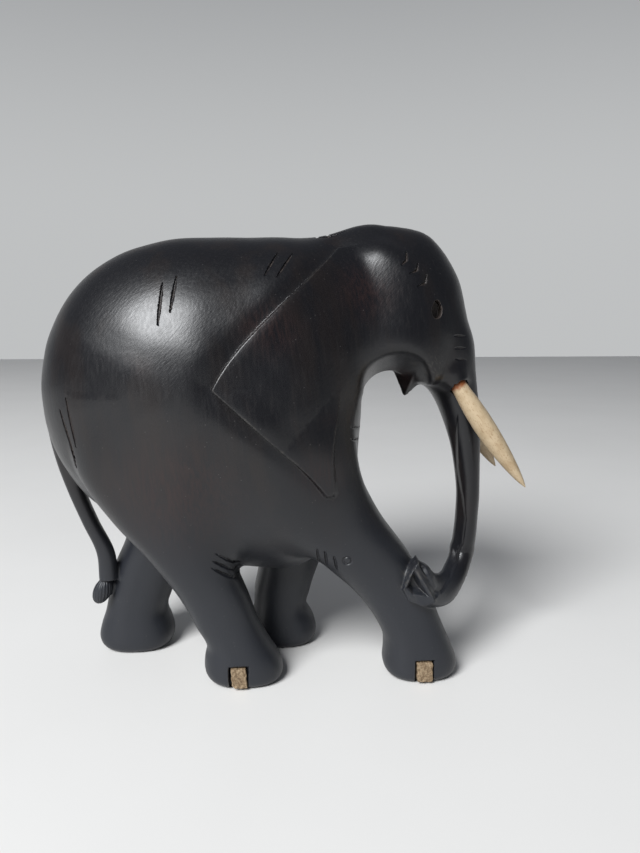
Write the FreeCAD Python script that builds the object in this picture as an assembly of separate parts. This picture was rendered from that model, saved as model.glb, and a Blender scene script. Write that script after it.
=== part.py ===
import FreeCAD, Part
import math
import os

# A carved wooden elephant, walking, with its trunk curled back against the right front leg.
# Millimetres. +X points to the head, +Y to the elephant's left and +Z up.
# The origin lies on the floor, midway along the elephant and midway across it.

V = FreeCAD.Vector

RING_POINTS = 16            # points round each section of a leg, the trunk or the tail
LEG_SQUARE = 2.15           # how full the legs' sections are, 2 being an ellipse
SAME_PLACE = 1e-6           # points nearer than this are taken as the same

# The rounded masses of the torso and head: centre, half lengths along X, Y and Z.
RUMP = ((-37.0, 0.0, 95.0), (41.7, 33.5, 49.0))
BARREL = ((-14.0, 0.0, 90.5), (39.5, 35.4, 55.2))
CHEST = ((2.0, 0.0, 85.0), (23.2, 34.0, 48.5))
NECK = ((6.0, 0.0, 116.0), (30.0, 27.5, 30.0))
CRANIUM = ((28.5, 0.0, 121.6), (26.0, 23.4, 28.5))
MUZZLE = ((52.6, 0.0, 107.0), (10.6, 13.5, 14.0))

# The round top of the opening between the chest and the trunk.
ARCH_CENTRE = (33.2, 91.6)
ARCH_RADIUS = 10.4
ARCH_REACH = 60.0           # how far the cut runs to each side

# Brow and trunk: they hang along a wide arc, and the trunk ends in a tight curl.
HANG_CENTRE = (-53.6, 57.0)
# Angle on the arc, distances of the rear and front edges from its centre, width.
HANG_SECTIONS = [
    (46.0, 93.0, 127.5, 24.0),
    (42.0, 94.5, 133.2, 31.0),
    (37.0, 98.0, 134.2, 33.0),
    (31.0, 101.0, 131.9, 31.0),
    (25.5, 105.0, 128.7, 25.0),
    (20.5, 109.0, 126.2, 19.0),
    (15.0, 110.9, 124.2, 15.0),
    (8.0, 112.1, 122.1, 12.6),
    (0.0, 112.8, 120.9, 11.0),
    (-9.2, 112.6, 121.2, 10.4),
]
CURL_START_RADIUS = 12.6
CURL_END_ANGLE = -158.0
# Share of the way along the curl, distance from its centre, thickness, width, place across.
# The tip lies against the outer side of the right front leg.
CURL_SECTIONS = [
    (0.26, 13.1, 9.4, 12.4, -5.6),
    (0.42, 12.3, 10.2, 14.0, -11.6),
    (0.62, 10.5, 11.0, 14.2, -17.4),
    (0.84, 9.2, 11.6, 12.6, -20.8),
    (1.0, 9.0, 11.4, 11.6, -21.6),
]

# Lower lip, which points down behind the trunk's root.
LIP_ROOT = (41.0, 0.0, 107.0)
LIP_ROOT_RADIUS = 6.5
LIP_TIP = (39.8, 0.0, 92.8)
LIP_TIP_RADIUS = 0.9

# Legs: height, rear edge, front edge, inner face, outer face.
LEG_RIGHT_HIND = [
    (0.0, -28.2, -2.0, 3.2, 24.4),
    (5.0, -27.6, -3.0, 3.4, 24.6),
    (12.0, -28.8, -6.4, 4.2, 24.2),
    (20.0, -32.0, -9.6, 4.4, 24.2),
    (30.0, -38.0, -13.0, 3.4, 25.6),
    (42.0, -46.8, -16.0, 2.0, 28.4),
    (58.0, -59.5, -16.0, 1.5, 30.4),
    (72.0, -65.5, -16.0, 3.0, 30.6),
    (88.0, -62.0, -20.0, 6.0, 27.0),
]
LEG_RIGHT_FRONT = [
    (0.0, 32.2, 56.8, 3.2, 24.4),
    (5.0, 32.4, 56.2, 3.4, 24.6),
    (12.0, 32.0, 53.8, 4.2, 24.2),
    (20.0, 28.8, 51.0, 4.4, 24.0),
    (30.0, 21.6, 46.8, 3.6, 24.8),
    (42.0, 9.0, 40.2, 2.0, 27.2),
    (56.0, -3.0, 29.6, 1.5, 29.6),
    (70.0, -8.0, 22.0, 3.0, 30.0),
    (86.0, -8.0, 17.0, 6.0, 27.0),
]
LEG_LEFT_HIND = [
    (0.0, -68.6, -42.4, 3.2, 24.4),
    (5.0, -68.2, -42.8, 3.4, 24.6),
    (12.0, -67.0, -44.4, 4.2, 24.2),
    (20.0, -65.8, -42.6, 4.2, 24.2),
    (30.0, -63.4, -37.6, 3.2, 25.6),
    (42.0, -58.0, -29.6, 2.0, 28.4),
    (58.0, -58.0, -20.0, 2.0, 30.4),
    (72.0, -62.5, -18.0, 3.0, 30.6),
    (88.0, -62.0, -20.0, 6.0, 27.0),
]
LEG_LEFT_FRONT = [
    (0.0, -13.4, 10.4, 3.2, 24.4),
    (5.0, -13.2, 9.6, 3.4, 24.6),
    (12.0, -13.4, 7.0, 4.2, 24.2),
    (20.0, -12.2, 8.4, 4.2, 24.0),
    (30.0, -10.4, 11.6, 3.2, 25.0),
    (42.0, -11.0, 17.0, 2.0, 27.2),
    (56.0, -12.0, 20.0, 1.5, 29.6),
    (70.0, -10.0, 20.0, 3.0, 30.0),
    (86.0, -8.0, 17.0, 6.0, 27.0),
]

# Ears: a raised triangular panel on each side of the head.
EAR_TOP = (17.0, 142.0)
EAR_BACK = (-21.8, 99.8)
EAR_BOTTOM = (11.6, 68.0)
EAR_FRONT = [(13.6, 86.0), (17.0, 104.0), (24.0, 124.0), (25.0, 142.0)]
EAR_RAISE = 2.4             # how far the panel stands out at its rear edges
EAR_REACH = 60.0            # how far the panel's outline is carried out before trimming

# Tail: a flat band down the back of the left hind leg, with a round tuft.
# Height, rear edge, thickness front to back, width, place across.
TAIL = [
    (96.0, -79.2, 9.0, 6.0, 0.0),
    (84.0, -79.4, 9.0, 7.4, 0.4),
    (72.0, -76.8, 7.0, 7.6, 1.0),
    (62.0, -73.4, 6.6, 7.2, 2.0),
    (50.0, -69.2, 6.2, 6.6, 3.4),
    (38.0, -66.6, 6.2, 6.2, 5.0),
    (29.0, -67.4, 7.0, 6.6, 6.0),
]
TUFT_CENTRE = (-64.2, 6.0, 25.0)
TUFT_RADIUS = 4.4

# Tusks: a peg glued into a flat-bottomed drilled socket beside the trunk's root.
TUSK_BASE = (56.0, 9.6, 98.2)
TUSK_TIP = (78.2, 16.0, 64.4)
TUSK_BOW = 0.3              # how far the tusk's middle bends forward of a straight line
# Share of the way to the tip, radius.
TUSK_SECTIONS = [(0.0, 2.75), (0.15, 3.2), (0.38, 3.5), (0.6, 3.1), (0.8, 2.2), (0.94, 1.1)]
PEG_RADIUS = 2.3
PEG_DEPTH = 8.0
SOCKET_CLEARANCE = 0.06     # glue line round the peg
SOCKET_FLAT_RADIUS = 3.4    # flat spot faced round each socket's mouth
SOCKET_FLAT_REACH = 9.0     # how far that facing cut reaches out of the body

# Eyes: empty drilled holes, with no inlay.
EYE = (46.5, 122.4)
EYE_RADIUS = 1.7
EYE_TALL = 1.65             # height of the hole over its width
EYE_DEPTH = 3.5
EYE_SURFACE = 18.0          # distance of the eye from the middle plane
EYE_REACH = 10.0            # how far the cutter runs outwards from the hole's end

# Nostril: a triangular recess cut into the flat end of the curl, open to the right.
NOSTRIL = [(38.8, 41.0), (37.0, 34.6), (39.0, 32.4), (44.4, 31.4)]
NOSTRIL_SURFACE = 26.4      # distance of the flat end from the middle plane
NOSTRIL_DEPTH = 2.4
FLAT_END = (40.0, 35.0)     # middle of the flat end
FLAT_END_REACH = 12.0       # how far past the flat end the cuts run

# Toenails: one small block let into the outer side of each foot.
NAIL_TALL = 7.0
NAIL_LONG = 5.6
NAIL_THICK = 3.0
NAIL_FLOOR_GAP = 0.8
NAIL_PROUD = 0.4
NAIL_ROUND = 0.35
# Node, centre along the elephant, side (-1 right, 1 left), outer face of the foot there.
NAILS = [
    ("toenail_rear_right", -17.0, -1, 24.5),
    ("toenail_front_right", 44.2, -1, 24.5),
    ("toenail_rear_left", -55.6, 1, 24.3),
    ("toenail_front_left", -1.6, 1, 24.3),
]


def signed_power(value, power):
    """A power that keeps the sign, for superellipses."""
    return math.copysign(abs(value) ** power, value)


def ring(centre, first, second, square=2.0):
    """A closed smooth wire round centre, with half axes first and second."""
    points = []
    for i in range(RING_POINTS):
        angle = 2 * math.pi * i / RING_POINTS
        a = signed_power(math.cos(angle), 2.0 / square)
        b = signed_power(math.sin(angle), 2.0 / square)
        points.append(centre + first * a + second * b)
    curve = Part.BSplineCurve()
    curve.interpolate(Points=points, PeriodicFlag=True)
    return Part.Wire([curve.toShape()])


def loft(sections):
    """A smooth solid through the sections."""
    return Part.makeLoft(sections, True, False)


def oval(mass, grow=0.0):
    """A rounded mass. One that is grown keeps its front end where it was."""
    centre, half = mass
    stretch = FreeCAD.Matrix()
    stretch.scale(half[0] + grow, half[1] + grow, half[2] + grow)
    stretch.move(V(centre[0] - grow, centre[1], centre[2]))
    return Part.makeSphere(1.0).transformGeometry(stretch)


def leg(rows, side):
    """A leg through its level sections. side is -1 for the right and 1 for the left."""
    sections = []
    for z, rear, front, inner, outer in rows:
        centre = V((rear + front) / 2, side * (inner + outer) / 2, z)
        half_long = V((front - rear) / 2, 0, 0)
        half_wide = V(0, (outer - inner) / 2, 0)
        sections.append(ring(centre, half_long, half_wide, LEG_SQUARE))
    return loft(sections)


def on_arc(centre, radius, angle, across=0.0):
    """A point of an arc that lies in an upright plane."""
    turn = math.radians(angle)
    return V(centre[0] + radius * math.cos(turn), across, centre[1] + radius * math.sin(turn))


def outward(angle):
    """The direction away from the arc's centre."""
    turn = math.radians(angle)
    return V(math.cos(turn), 0, math.sin(turn))


def trunk():
    """The brow, the hanging trunk and its curl, as one loft."""
    sections = []
    for angle, inner, outer, wide in HANG_SECTIONS:
        centre = on_arc(HANG_CENTRE, (inner + outer) / 2, angle)
        sections.append(ring(centre, outward(angle) * ((outer - inner) / 2), V(0, wide / 2, 0)))
    back = outward(angle) * CURL_START_RADIUS
    curl_centre = (centre.x - back.x, centre.z - back.z)
    for share, radius, thick, wide, across in CURL_SECTIONS:
        turn = angle + share * (CURL_END_ANGLE - angle)
        middle = on_arc(curl_centre, radius, turn, across)
        sections.append(ring(middle, outward(turn) * (thick / 2), V(0, wide / 2, 0)))
    return loft(sections)


def lip():
    """The pointed lower lip."""
    root = V(*LIP_ROOT)
    tip = V(*LIP_TIP)
    return Part.makeCone(LIP_ROOT_RADIUS, LIP_TIP_RADIUS, root.distanceToPoint(tip), root, tip - root)


def tail():
    """The flat tail and its tuft."""
    sections = []
    for z, rear, thick, wide, across in TAIL:
        centre = V(rear + thick / 2, across, z)
        sections.append(ring(centre, V(thick / 2, 0, 0), V(0, wide / 2, 0)))
    return loft(sections).fuse(Part.makeSphere(TUFT_RADIUS, V(*TUFT_CENTRE)))


def side_prism(outline, near, far):
    """A prism across the elephant, from one distance off the middle plane to another."""
    points = [V(x, near, z) for x, z in outline]
    face = Part.Face(Part.makePolygon(points + points[:1]))
    return face.extrude(V(0, far - near, 0))


def ear(side):
    """A raised ear panel that follows the body's curve and sinks into the cheek."""
    outline = [EAR_TOP, EAR_BACK, EAR_BOTTOM] + EAR_FRONT
    grown = oval(BARREL, EAR_RAISE).fuse(oval(CHEST, EAR_RAISE)).fuse(oval(NECK, EAR_RAISE))
    return side_prism(outline, 0.0, side * EAR_REACH).common(grown)


def tusk_point(share, side):
    """A point of the tusk's bowed centre line."""
    base = V(TUSK_BASE[0], side * TUSK_BASE[1], TUSK_BASE[2])
    tip = V(TUSK_TIP[0], side * TUSK_TIP[1], TUSK_TIP[2])
    along = tip - base
    bend = V(-along.z, 0, along.x).normalize() * (TUSK_BOW * 4 * share * (1 - share))
    return base + along * share + bend


def tusk_direction(share, side):
    """The direction of the tusk's centre line."""
    step = 0.01
    return (tusk_point(share + step, side) - tusk_point(share - step, side)).normalize()


def tusk(side):
    """A tapered, slightly bowed tusk with its peg."""
    sections = []
    for share, radius in TUSK_SECTIONS:
        along = tusk_direction(share, side)
        across = V(0, 1, 0).cross(along).normalize()
        sections.append(ring(tusk_point(share, side), across * radius, along.cross(across) * radius))
    sections.append(Part.Vertex(tusk_point(1.0, side)))
    inward = tusk_direction(0.0, side) * -1
    peg = Part.makeCylinder(PEG_RADIUS, PEG_DEPTH, tusk_point(0.0, side), inward)
    return loft(sections).fuse(peg).removeSplitter()


def tusk_socket(side):
    """The drilled socket and the flat spot round its mouth."""
    mouth = tusk_point(0.0, side)
    outwards = tusk_direction(0.0, side)
    hole = Part.makeCylinder(PEG_RADIUS + SOCKET_CLEARANCE, PEG_DEPTH, mouth, outwards * -1)
    flat = Part.makeCylinder(SOCKET_FLAT_RADIUS, SOCKET_FLAT_REACH, mouth, outwards)
    return hole.fuse(flat)


def eye_hole(side):
    """A tall drilled hole."""
    centre = V(EYE[0], side * (EYE_SURFACE - EYE_DEPTH), EYE[1])
    rim = ring(centre, V(EYE_RADIUS, 0, 0), V(0, 0, EYE_RADIUS * EYE_TALL))
    return Part.Face(rim).extrude(V(0, side * EYE_REACH, 0))


def nostril():
    """The recess in the end of the curl, on the elephant's right."""
    return side_prism(NOSTRIL, -NOSTRIL_SURFACE - FLAT_END_REACH, NOSTRIL_DEPTH - NOSTRIL_SURFACE)


def flat_end():
    """What is cut away to leave the trunk's end flat."""
    reach = FLAT_END_REACH
    corner = V(FLAT_END[0] - reach, -NOSTRIL_SURFACE - reach, FLAT_END[1] - reach)
    return Part.makeBox(2 * reach, reach, 2 * reach, corner)


def nail_block(along, side, face, proud):
    """A toenail's block, or its pocket."""
    inner = face - NAIL_THICK
    depth = NAIL_THICK + proud
    low = inner if side > 0 else -inner - depth
    return Part.makeBox(NAIL_LONG, depth, NAIL_TALL, V(along - NAIL_LONG / 2, low, NAIL_FLOOR_GAP))


def toenail(along, side, face):
    """A toenail with its outer edges eased."""
    block = nail_block(along, side, face, NAIL_PROUD)
    outer = side * (face + NAIL_PROUD)
    edges = [e for e in block.Edges if all(abs(v.Y - outer) < SAME_PLACE for v in e.Vertexes)]
    return block.makeFillet(NAIL_ROUND, edges)


def arch():
    """The cut that rounds the top of the opening behind the trunk."""
    start = V(ARCH_CENTRE[0], -ARCH_REACH, ARCH_CENTRE[1])
    return Part.makeCylinder(ARCH_RADIUS, 2 * ARCH_REACH, start, V(0, 1, 0))


def carved_body():
    """The whole figure that is carved from one block."""
    body = oval(RUMP)
    for mass in (BARREL, CHEST, NECK, CRANIUM):
        body = body.fuse(oval(mass))
    body = body.cut(arch())
    legs = [leg(LEG_RIGHT_HIND, -1), leg(LEG_RIGHT_FRONT, -1)]
    legs += [leg(LEG_LEFT_HIND, 1), leg(LEG_LEFT_FRONT, 1)]
    for piece in [ear(-1), ear(1), oval(MUZZLE), lip(), tail()] + legs + [trunk()]:
        body = body.fuse(piece)
    cuts = [tusk_socket(-1), tusk_socket(1), eye_hole(-1), eye_hole(1), flat_end(), nostril()]
    for _, along, side, face in NAILS:
        cuts.append(nail_block(along, side, face, SOCKET_FLAT_REACH))
    for cut in cuts:
        body = body.cut(cut)
    return max(body.Solids, key=lambda solid: solid.Volume)


def main():
    os.makedirs("parts", exist_ok=True)
    nodes = {
        "carved_body": carved_body(),
        "tusk_right": tusk(-1),
        "tusk_left": tusk(1),
    }
    for name, along, side, face in NAILS:
        nodes[name] = toenail(along, side, face)
    for name, shape in nodes.items():
        shape.exportStep(os.path.join("parts", name + ".step"))


main()
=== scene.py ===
import math
from concurrent.futures import ThreadPoolExecutor

import bmesh
import bpy
import numpy as np
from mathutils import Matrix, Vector


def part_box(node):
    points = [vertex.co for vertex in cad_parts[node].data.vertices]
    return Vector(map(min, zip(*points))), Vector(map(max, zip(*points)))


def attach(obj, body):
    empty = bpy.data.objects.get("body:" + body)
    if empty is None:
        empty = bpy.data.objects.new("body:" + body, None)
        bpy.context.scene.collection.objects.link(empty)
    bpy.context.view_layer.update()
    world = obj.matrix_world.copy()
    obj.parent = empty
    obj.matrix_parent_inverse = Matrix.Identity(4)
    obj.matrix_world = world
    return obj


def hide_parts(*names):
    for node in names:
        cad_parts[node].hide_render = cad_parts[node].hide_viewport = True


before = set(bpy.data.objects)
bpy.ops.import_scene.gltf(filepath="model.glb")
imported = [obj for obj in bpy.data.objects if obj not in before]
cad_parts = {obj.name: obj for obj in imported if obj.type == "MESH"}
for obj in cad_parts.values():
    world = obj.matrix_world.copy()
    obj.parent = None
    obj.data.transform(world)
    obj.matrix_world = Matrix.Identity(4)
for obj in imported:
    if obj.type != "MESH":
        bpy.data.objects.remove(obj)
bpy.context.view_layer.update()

# The sculpted surfaces are worked out in millimetres and placed in metres.
MM = 0.001
FAR = 9.0                   # a distance that stands for "nothing near"

# ---- Shape of the carved body. +X to the head, +Y to the left, +Z up. ----

# Rounded masses: centre, half lengths.
RUMP = ((-37.6, 0.0, 95.5), (42.2, 32.4, 47.8))
BARREL = ((-17.0, 0.0, 89.5), (36.0, 34.0, 52.9))
CHEST = ((1.4, 0.0, 83.0), (22.2, 32.6, 46.6))
NECK = ((6.0, 0.0, 114.4), (28.0, 25.0, 29.4))
CROWN = ((31.8, 0.0, 122.9), (25.3, 17.0, 26.2))
TEMPLE = ((34.0, 0.0, 110.0), (23.0, 20.5, 52.0))
TEMPLE_TOP = (27.0, 144.4)  # the highest point of the line where the temple turns in to the crown
TEMPLE_FALL = (0.02, 0.044) # how that line falls to the rear and to the front
TEMPLE_ROUND = 6.0
TEMPLE_SLANT = 0.8          # how fast the distance grows above that line
TEMPLE_LOW = 98.0           # the side of the head ends here, at the arch
TEMPLE_LOW_ROUND = 6.0
CHEEK = ((33.0, 6.0, 113.0), (17.0, 14.5, 13.5))
MUZZLE = ((52.6, 0.0, 108.0), (8.4, 11.0, 11.0))
TORSO_BLEND = 16.0
CROWN_BLEND = 12.0
CHEEK_BLEND = 9.0
TEMPLE_BLEND = 1.8
MUZZLE_BLEND = 4.0

# Arch between the chest and the trunk.
ARCH_CENTRE = (34.8, 92.2)
ARCH_FOOT = (33.8, 62.0)
ARCH_RADIUS = 9.9
ARCH_ROUND = 2.4
ARCH_FLARE = 0.38           # how fast the opening widens to the sides, at its top
ARCH_FLARE_START = 3.0
ARCH_LOW_FLARE = 0.12       # the same in front of the chest
ARCH_TOP = (0.3, 0.95)      # between these slopes from its centre, one flare turns into the other

# Brow and trunk along a wide arc: angle, rear edge, front edge, width.
HANG_CENTRE = (-53.6, 57.0)
HANG = [
    (47.0, 94.0, 121.0, 14.0),
    (42.0, 98.0, 132.0, 25.0),
    (39.0, 99.0, 132.5, 29.0),
    (36.0, 100.4, 132.1, 31.0),
    (31.0, 102.4, 130.8, 31.0),
    (25.5, 106.0, 128.9, 26.0),
    (20.5, 109.2, 126.0, 19.6),
    (15.0, 111.0, 124.0, 14.6),
    (8.0, 112.3, 121.8, 12.4),
    (0.0, 113.1, 120.9, 11.0),
    (-9.2, 113.0, 121.2, 10.4),
]
HANG_BLEND = 3.0
BROW_BLEND = 8.0
BROW_HEIGHTS = (108.0, 132.0)   # where the one turns into the other
# The curl: share of the way round, distance from its centre, thickness, width, place across.
CURL_START_RADIUS = 12.6
CURL_END = -155.0
CURL = [
    (0.0, 12.6, 8.2, 10.4, 0.0),
    (0.12, 12.4, 8.2, 11.0, -2.0),
    (0.267, 12.2, 9.0, 12.6, -6.0),
    (0.431, 11.9, 10.2, 14.2, -12.0),
    (0.637, 10.3, 11.0, 14.2, -17.6),
    (0.89, 9.2, 11.0, 12.4, -21.4),
    (1.0, 9.2, 10.6, 11.8, -22.0),
]
# The flat end face of the trunk: its outline, and where it lies across.
FACE = [(41.0, 43.6), (36.0, 33.8), (38.0, 30.0), (42.6, 28.2), (46.8, 29.6)]
FACE_ACROSS = -27.0
FACE_LEAN = 0.10            # the face turns to the front by this much per millimetre
FACE_ROUND = 0.8
FACE_THICK = 9.0
FACE_REACH = (4.5, 3.0)     # its details fade out over this distance behind it
NOSTRIL = [(39.4, 40.4), (37.2, 34.8), (39.0, 32.6), (44.6, 31.6)]
NOSTRIL_DEPTH = 3.2
NOSTRIL_SLOPE = (0.2, -1.6)     # it deepens between these distances from its outline
RIDGES = [[(39.9, 41.2), (46.0, 31.0)], [(40.2, 43.4), (36.3, 34.2)]]
RIDGE_HEIGHT, RIDGE_HALF = 0.4, 0.45
TROUGH = [(41.6, 42.0), (47.1, 31.4)]
TROUGH_DEPTH, TROUGH_HALF = 0.8, 1.2

# The groove down the trunk, and the serrations along its outer edge.
GROOVE = [
    (56.9, 90.0), (57.6, 80.0), (58.7, 68.0), (60.6, 58.0), (61.6, 50.3), (60.8, 41.5),
    (58.6, 35.5), (54.9, 32.4), (49.3, 31.2), (46.0, 33.0),
]
GROOVE_DEPTH = 0.95
GROOVE_EDGE = 0.45
GROOVE_REACH = 4.2
GROOVE_ENDS = (0.12, 0.94)  # between these shares of its length it has its full depth
GROOVE_ASIDE = (0.1, 0.45)  # it fades towards the middle of the trunk's front
NOTCH_DEPTH = 0.3
BROW_NOTCH_PITCH = 3.3
BROW_NOTCH_HALF = 3.0
BROW_NOTCH_LAST = 12.0      # the angle where the row on the brow ends
CURL_NOTCH_PITCH = 2.3
CURL_NOTCH_DEEPER = 1.5

# Lower lip: a four-sided point. Its tip, and the directions of its edges from there.
LIP_TIP = (40.0, 0.0, 92.6)
LIP_REAR = (-3.4, 0.0, 8.7)
LIP_FRONT = (6.2, 0.0, 5.5)
LIP_SIDE = (2.7, 13.0, 14.4)
LIP_TOP = 108.0
LIP_ROUND = 0.5
LIP_BLEND = 1.2

# Legs: height, rear edge, front edge, inner face, outer face.
RIGHT_HIND = [
    (0.0, -26.8, -2.6, 3.2, 24.4),
    (4.0, -28.4, -2.4, 3.2, 24.6),
    (8.5, -28.3, -4.2, 3.8, 24.5),
    (12.0, -27.6, -6.4, 4.2, 24.2),
    (20.0, -31.2, -10.4, 4.4, 24.2),
    (30.0, -36.0, -14.0, 3.4, 25.6),
    (42.0, -43.8, -19.0, 2.0, 28.0),
    (58.0, -56.0, -23.0, 1.5, 29.6),
    (72.0, -62.5, -24.0, 3.0, 29.6),
    (90.0, -58.0, -26.0, 7.0, 24.0),
]
RIGHT_FRONT = [
    (0.0, 33.0, 55.6, 3.2, 24.4),
    (4.0, 31.8, 56.8, 3.2, 24.6),
    (9.0, 32.0, 55.4, 3.8, 24.4),
    (13.0, 31.8, 53.6, 4.2, 24.2),
    (20.0, 28.8, 50.6, 4.4, 24.0),
    (30.0, 21.6, 46.6, 3.6, 24.8),
    (42.0, 9.0, 40.2, 2.0, 27.0),
    (56.0, -3.0, 30.2, 1.5, 28.8),
    (70.0, -8.0, 22.8, 3.0, 28.8),
    (84.0, -7.0, 16.0, 6.0, 26.0),
    (98.0, -4.0, 9.0, 9.0, 22.0),
]
LEFT_HIND = [
    (0.0, -67.4, -43.6, 3.2, 24.4),
    (4.0, -69.0, -42.2, 3.2, 24.6),
    (9.0, -68.2, -43.0, 3.8, 24.4),
    (13.0, -66.8, -44.4, 4.2, 24.2),
    (20.0, -65.2, -42.6, 4.2, 24.2),
    (30.0, -63.0, -37.6, 3.2, 25.6),
    (42.0, -58.0, -30.0, 2.0, 28.0),
    (58.0, -57.5, -23.0, 2.0, 29.6),
    (72.0, -61.0, -22.0, 3.0, 29.6),
    (90.0, -58.0, -24.0, 7.0, 24.0),
]
LEFT_FRONT = [
    (0.0, -12.6, 9.6, 3.2, 24.4),
    (4.0, -13.8, 10.6, 3.2, 24.6),
    (9.0, -13.6, 9.4, 3.8, 24.4),
    (13.0, -12.6, 7.2, 4.2, 24.2),
    (20.0, -12.2, 8.4, 4.2, 24.0),
    (30.0, -10.4, 11.6, 3.2, 25.0),
    (42.0, -11.0, 16.6, 2.0, 27.0),
    (56.0, -11.0, 19.0, 1.5, 28.8),
    (70.0, -9.0, 19.0, 3.0, 28.8),
    (84.0, -7.0, 16.0, 6.0, 26.0),
    (98.0, -4.0, 9.0, 9.0, 22.0),
]
LEG_SQUARE = 2.5
LEG_BLEND = 9.0             # outside of the legs
CROTCH_BLEND = 3.5          # between and under the legs
LEG_OUTSIDE = (14.0, 24.0)  # distances from the middle plane where the one turns into the other
CURL_BLEND = 0.8
TAIL_BLEND = 1.6
SOLE_ROUND = 3.0

# Tail: height, rear edge, thickness, width, place across.
TAIL = [
    (98.0, -79.0, 9.0, 6.0, 0.0),
    (84.0, -79.6, 9.0, 7.0, 0.4),
    (72.0, -77.6, 7.0, 7.2, 1.0),
    (62.0, -74.9, 5.6, 7.0, 2.0),
    (50.0, -71.0, 5.4, 6.6, 3.4),
    (38.0, -67.0, 6.0, 6.2, 5.0),
    (28.0, -66.8, 6.4, 6.4, 6.0),
]
TUFT = ((-65.9, 6.0, 23.6), (3.4, 3.4, 4.9))
TUFT_LEAN = 0.3             # its lower end hangs back by this much per millimetre
TUFT_STRANDS = 9
STRAND_DEPTH = 0.16
STRAND_TWIST = 0.5
TAIL_SQUARE = 2.4
TUFT_BLEND = 0.8

# Ears: a raised triangular panel on each side.
EAR_TOP = (16.0, 141.5)
EAR_BACK = (-22.3, 99.8)
EAR_BOTTOM = (11.6, 68.4)
EAR_FRONT = [(12.8, 82.0), (17.0, 104.0), (24.0, 124.0), (27.0, 143.0)]
EAR_BOW = 2.8               # how far the rear edge bulges back between its corners
EAR_RAISE = 2.6
EAR_LOW_RAISE = 1.7         # the least that it stands out, below these heights
EAR_LOW = (100.0, 76.0)
EAR_FADE = 26.0             # the panel sinks away over this length before its front edge
EAR_DISH = 1.0
EAR_DISH_REACH = 9.0
EAR_DIP = 1.1               # how deep the body is cut away behind the panel
EAR_DIP_REACH = 4.2
EAR_EDGE = 0.5
EAR_INSIDE = 4.0            # the ears stay this far from the middle plane

# Tusks: from tip to base, and the collar of wood round each base.
TUSK_RUN = (-22.2, 6.4, 33.8)
TUSK_BOW = 0.3
TUSK_INSET = 0.9            # the tip lies this far inside the outermost side of the tusk
# Share of the way from base to tip, radius.
TUSK = [
    (-0.14, 2.1), (-0.03, 2.3), (0.0, 2.55), (0.08, 2.85), (0.2, 3.3), (0.38, 3.55),
    (0.55, 3.3), (0.72, 2.6), (0.86, 1.7), (0.95, 0.85), (1.0, 0.16),
]
COLLAR_ROOT, COLLAR_RIM = 4.4, 3.6
COLLAR_INWARD, COLLAR_OUTWARD = 3.4, 0.4
COLLAR_ROUND = 1.2
COLLAR_BLEND = 2.8
SOCKET_GAP = 0.3
SOCKET_DEPTH, SOCKET_LENGTH = 4.0, 12.0

# Eyes: drilled teardrop holes.
EYE = (46.5, 122.4)
EYE_HALF = (1.75, 2.8)
EYE_TAPER = 0.28            # how much narrower the top is
EYE_FLOOR = 13.8            # distance of the hole's end from the middle plane

# Knife cuts in the sides: half width, depth, how far the left side's are shifted, lines.
CUTS = [
    (0.48, 0.8, 0.0, [[(-36.7, 130.2), (-37.7, 118.1)], [(-32.7, 132.2), (-34.2, 121.8)]]),
    (0.45, 0.7, 0.0, [[(-2.8, 139.4), (-6.8, 132.5)], [(1.8, 139.4), (-3.2, 132.0)]]),
    (0.46, 0.8, -14.0, [[(-23.1, 47.7), (-15.7, 40.8)], [(-23.9, 45.2), (-16.2, 38.8)],
                        [(-24.3, 42.9), (-15.7, 35.8)]]),
    (0.5, 0.7, -18.0, [[(8.4, 48.5), (9.5, 41.5)], [(10.9, 47.8), (11.9, 41.6)],
                       [(13.8, 46.0), (15.0, 40.7)]]),
    (0.5, 0.6, 0.0, [[(19.3, 86.6), (23.5, 84.6)], [(19.3, 82.9), (23.5, 80.5)]]),
    (0.5, 0.75, 0.0, [[(37.2, 139.9), (37.0, 137.4), (35.1, 135.9)],
                      [(40.9, 136.8), (40.2, 134.4), (37.8, 133.3)],
                      [(43.4, 133.0), (42.8, 130.6), (40.2, 129.4)]]),
    (0.42, 0.5, 0.0, [[(53.2, 114.1), (58.1, 113.8)], [(53.7, 110.2), (57.9, 110.0)],
                      [(54.3, 106.6), (58.0, 106.1)]]),
    (0.5, 0.6, 0.0, [[(-66.7, 96.3), (-64.3, 81.5)], [(-69.2, 92.4), (-65.2, 77.3)],
                     [(-67.5, 87.0), (-65.1, 74.7)]]),
]
CUT_INSIDE = 7.0            # the side cuts stay at least this far from the middle plane
CUT_ENDS, CUT_SWELL = 0.45, 2.2     # share of the width at a cut's ends, and its growth inwards
BACK_NOTCHES = [10.2, 13.6]
BACK_NOTCH_DEPTH, BACK_NOTCH_HALF = 0.55, 0.6
BACK_NOTCH_LOW, BACK_NOTCH_REACH = 130.0, 5.0
KNOT = (18.0, 44.5)
KNOT_RADIUS = 1.3
KNOT_DEPTH, KNOT_HALF = 0.35, 0.45

# Toenail pockets: gap round the nail.
NAIL_GAP = 0.22
POCKET_REACH = 3.0          # how far a pocket is open to the outside

# Slight waves that the knife and the sanding leave: height, and how close together.
WAVE_HEIGHT, WAVE_SCALE = 0.10, 0.21


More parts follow.
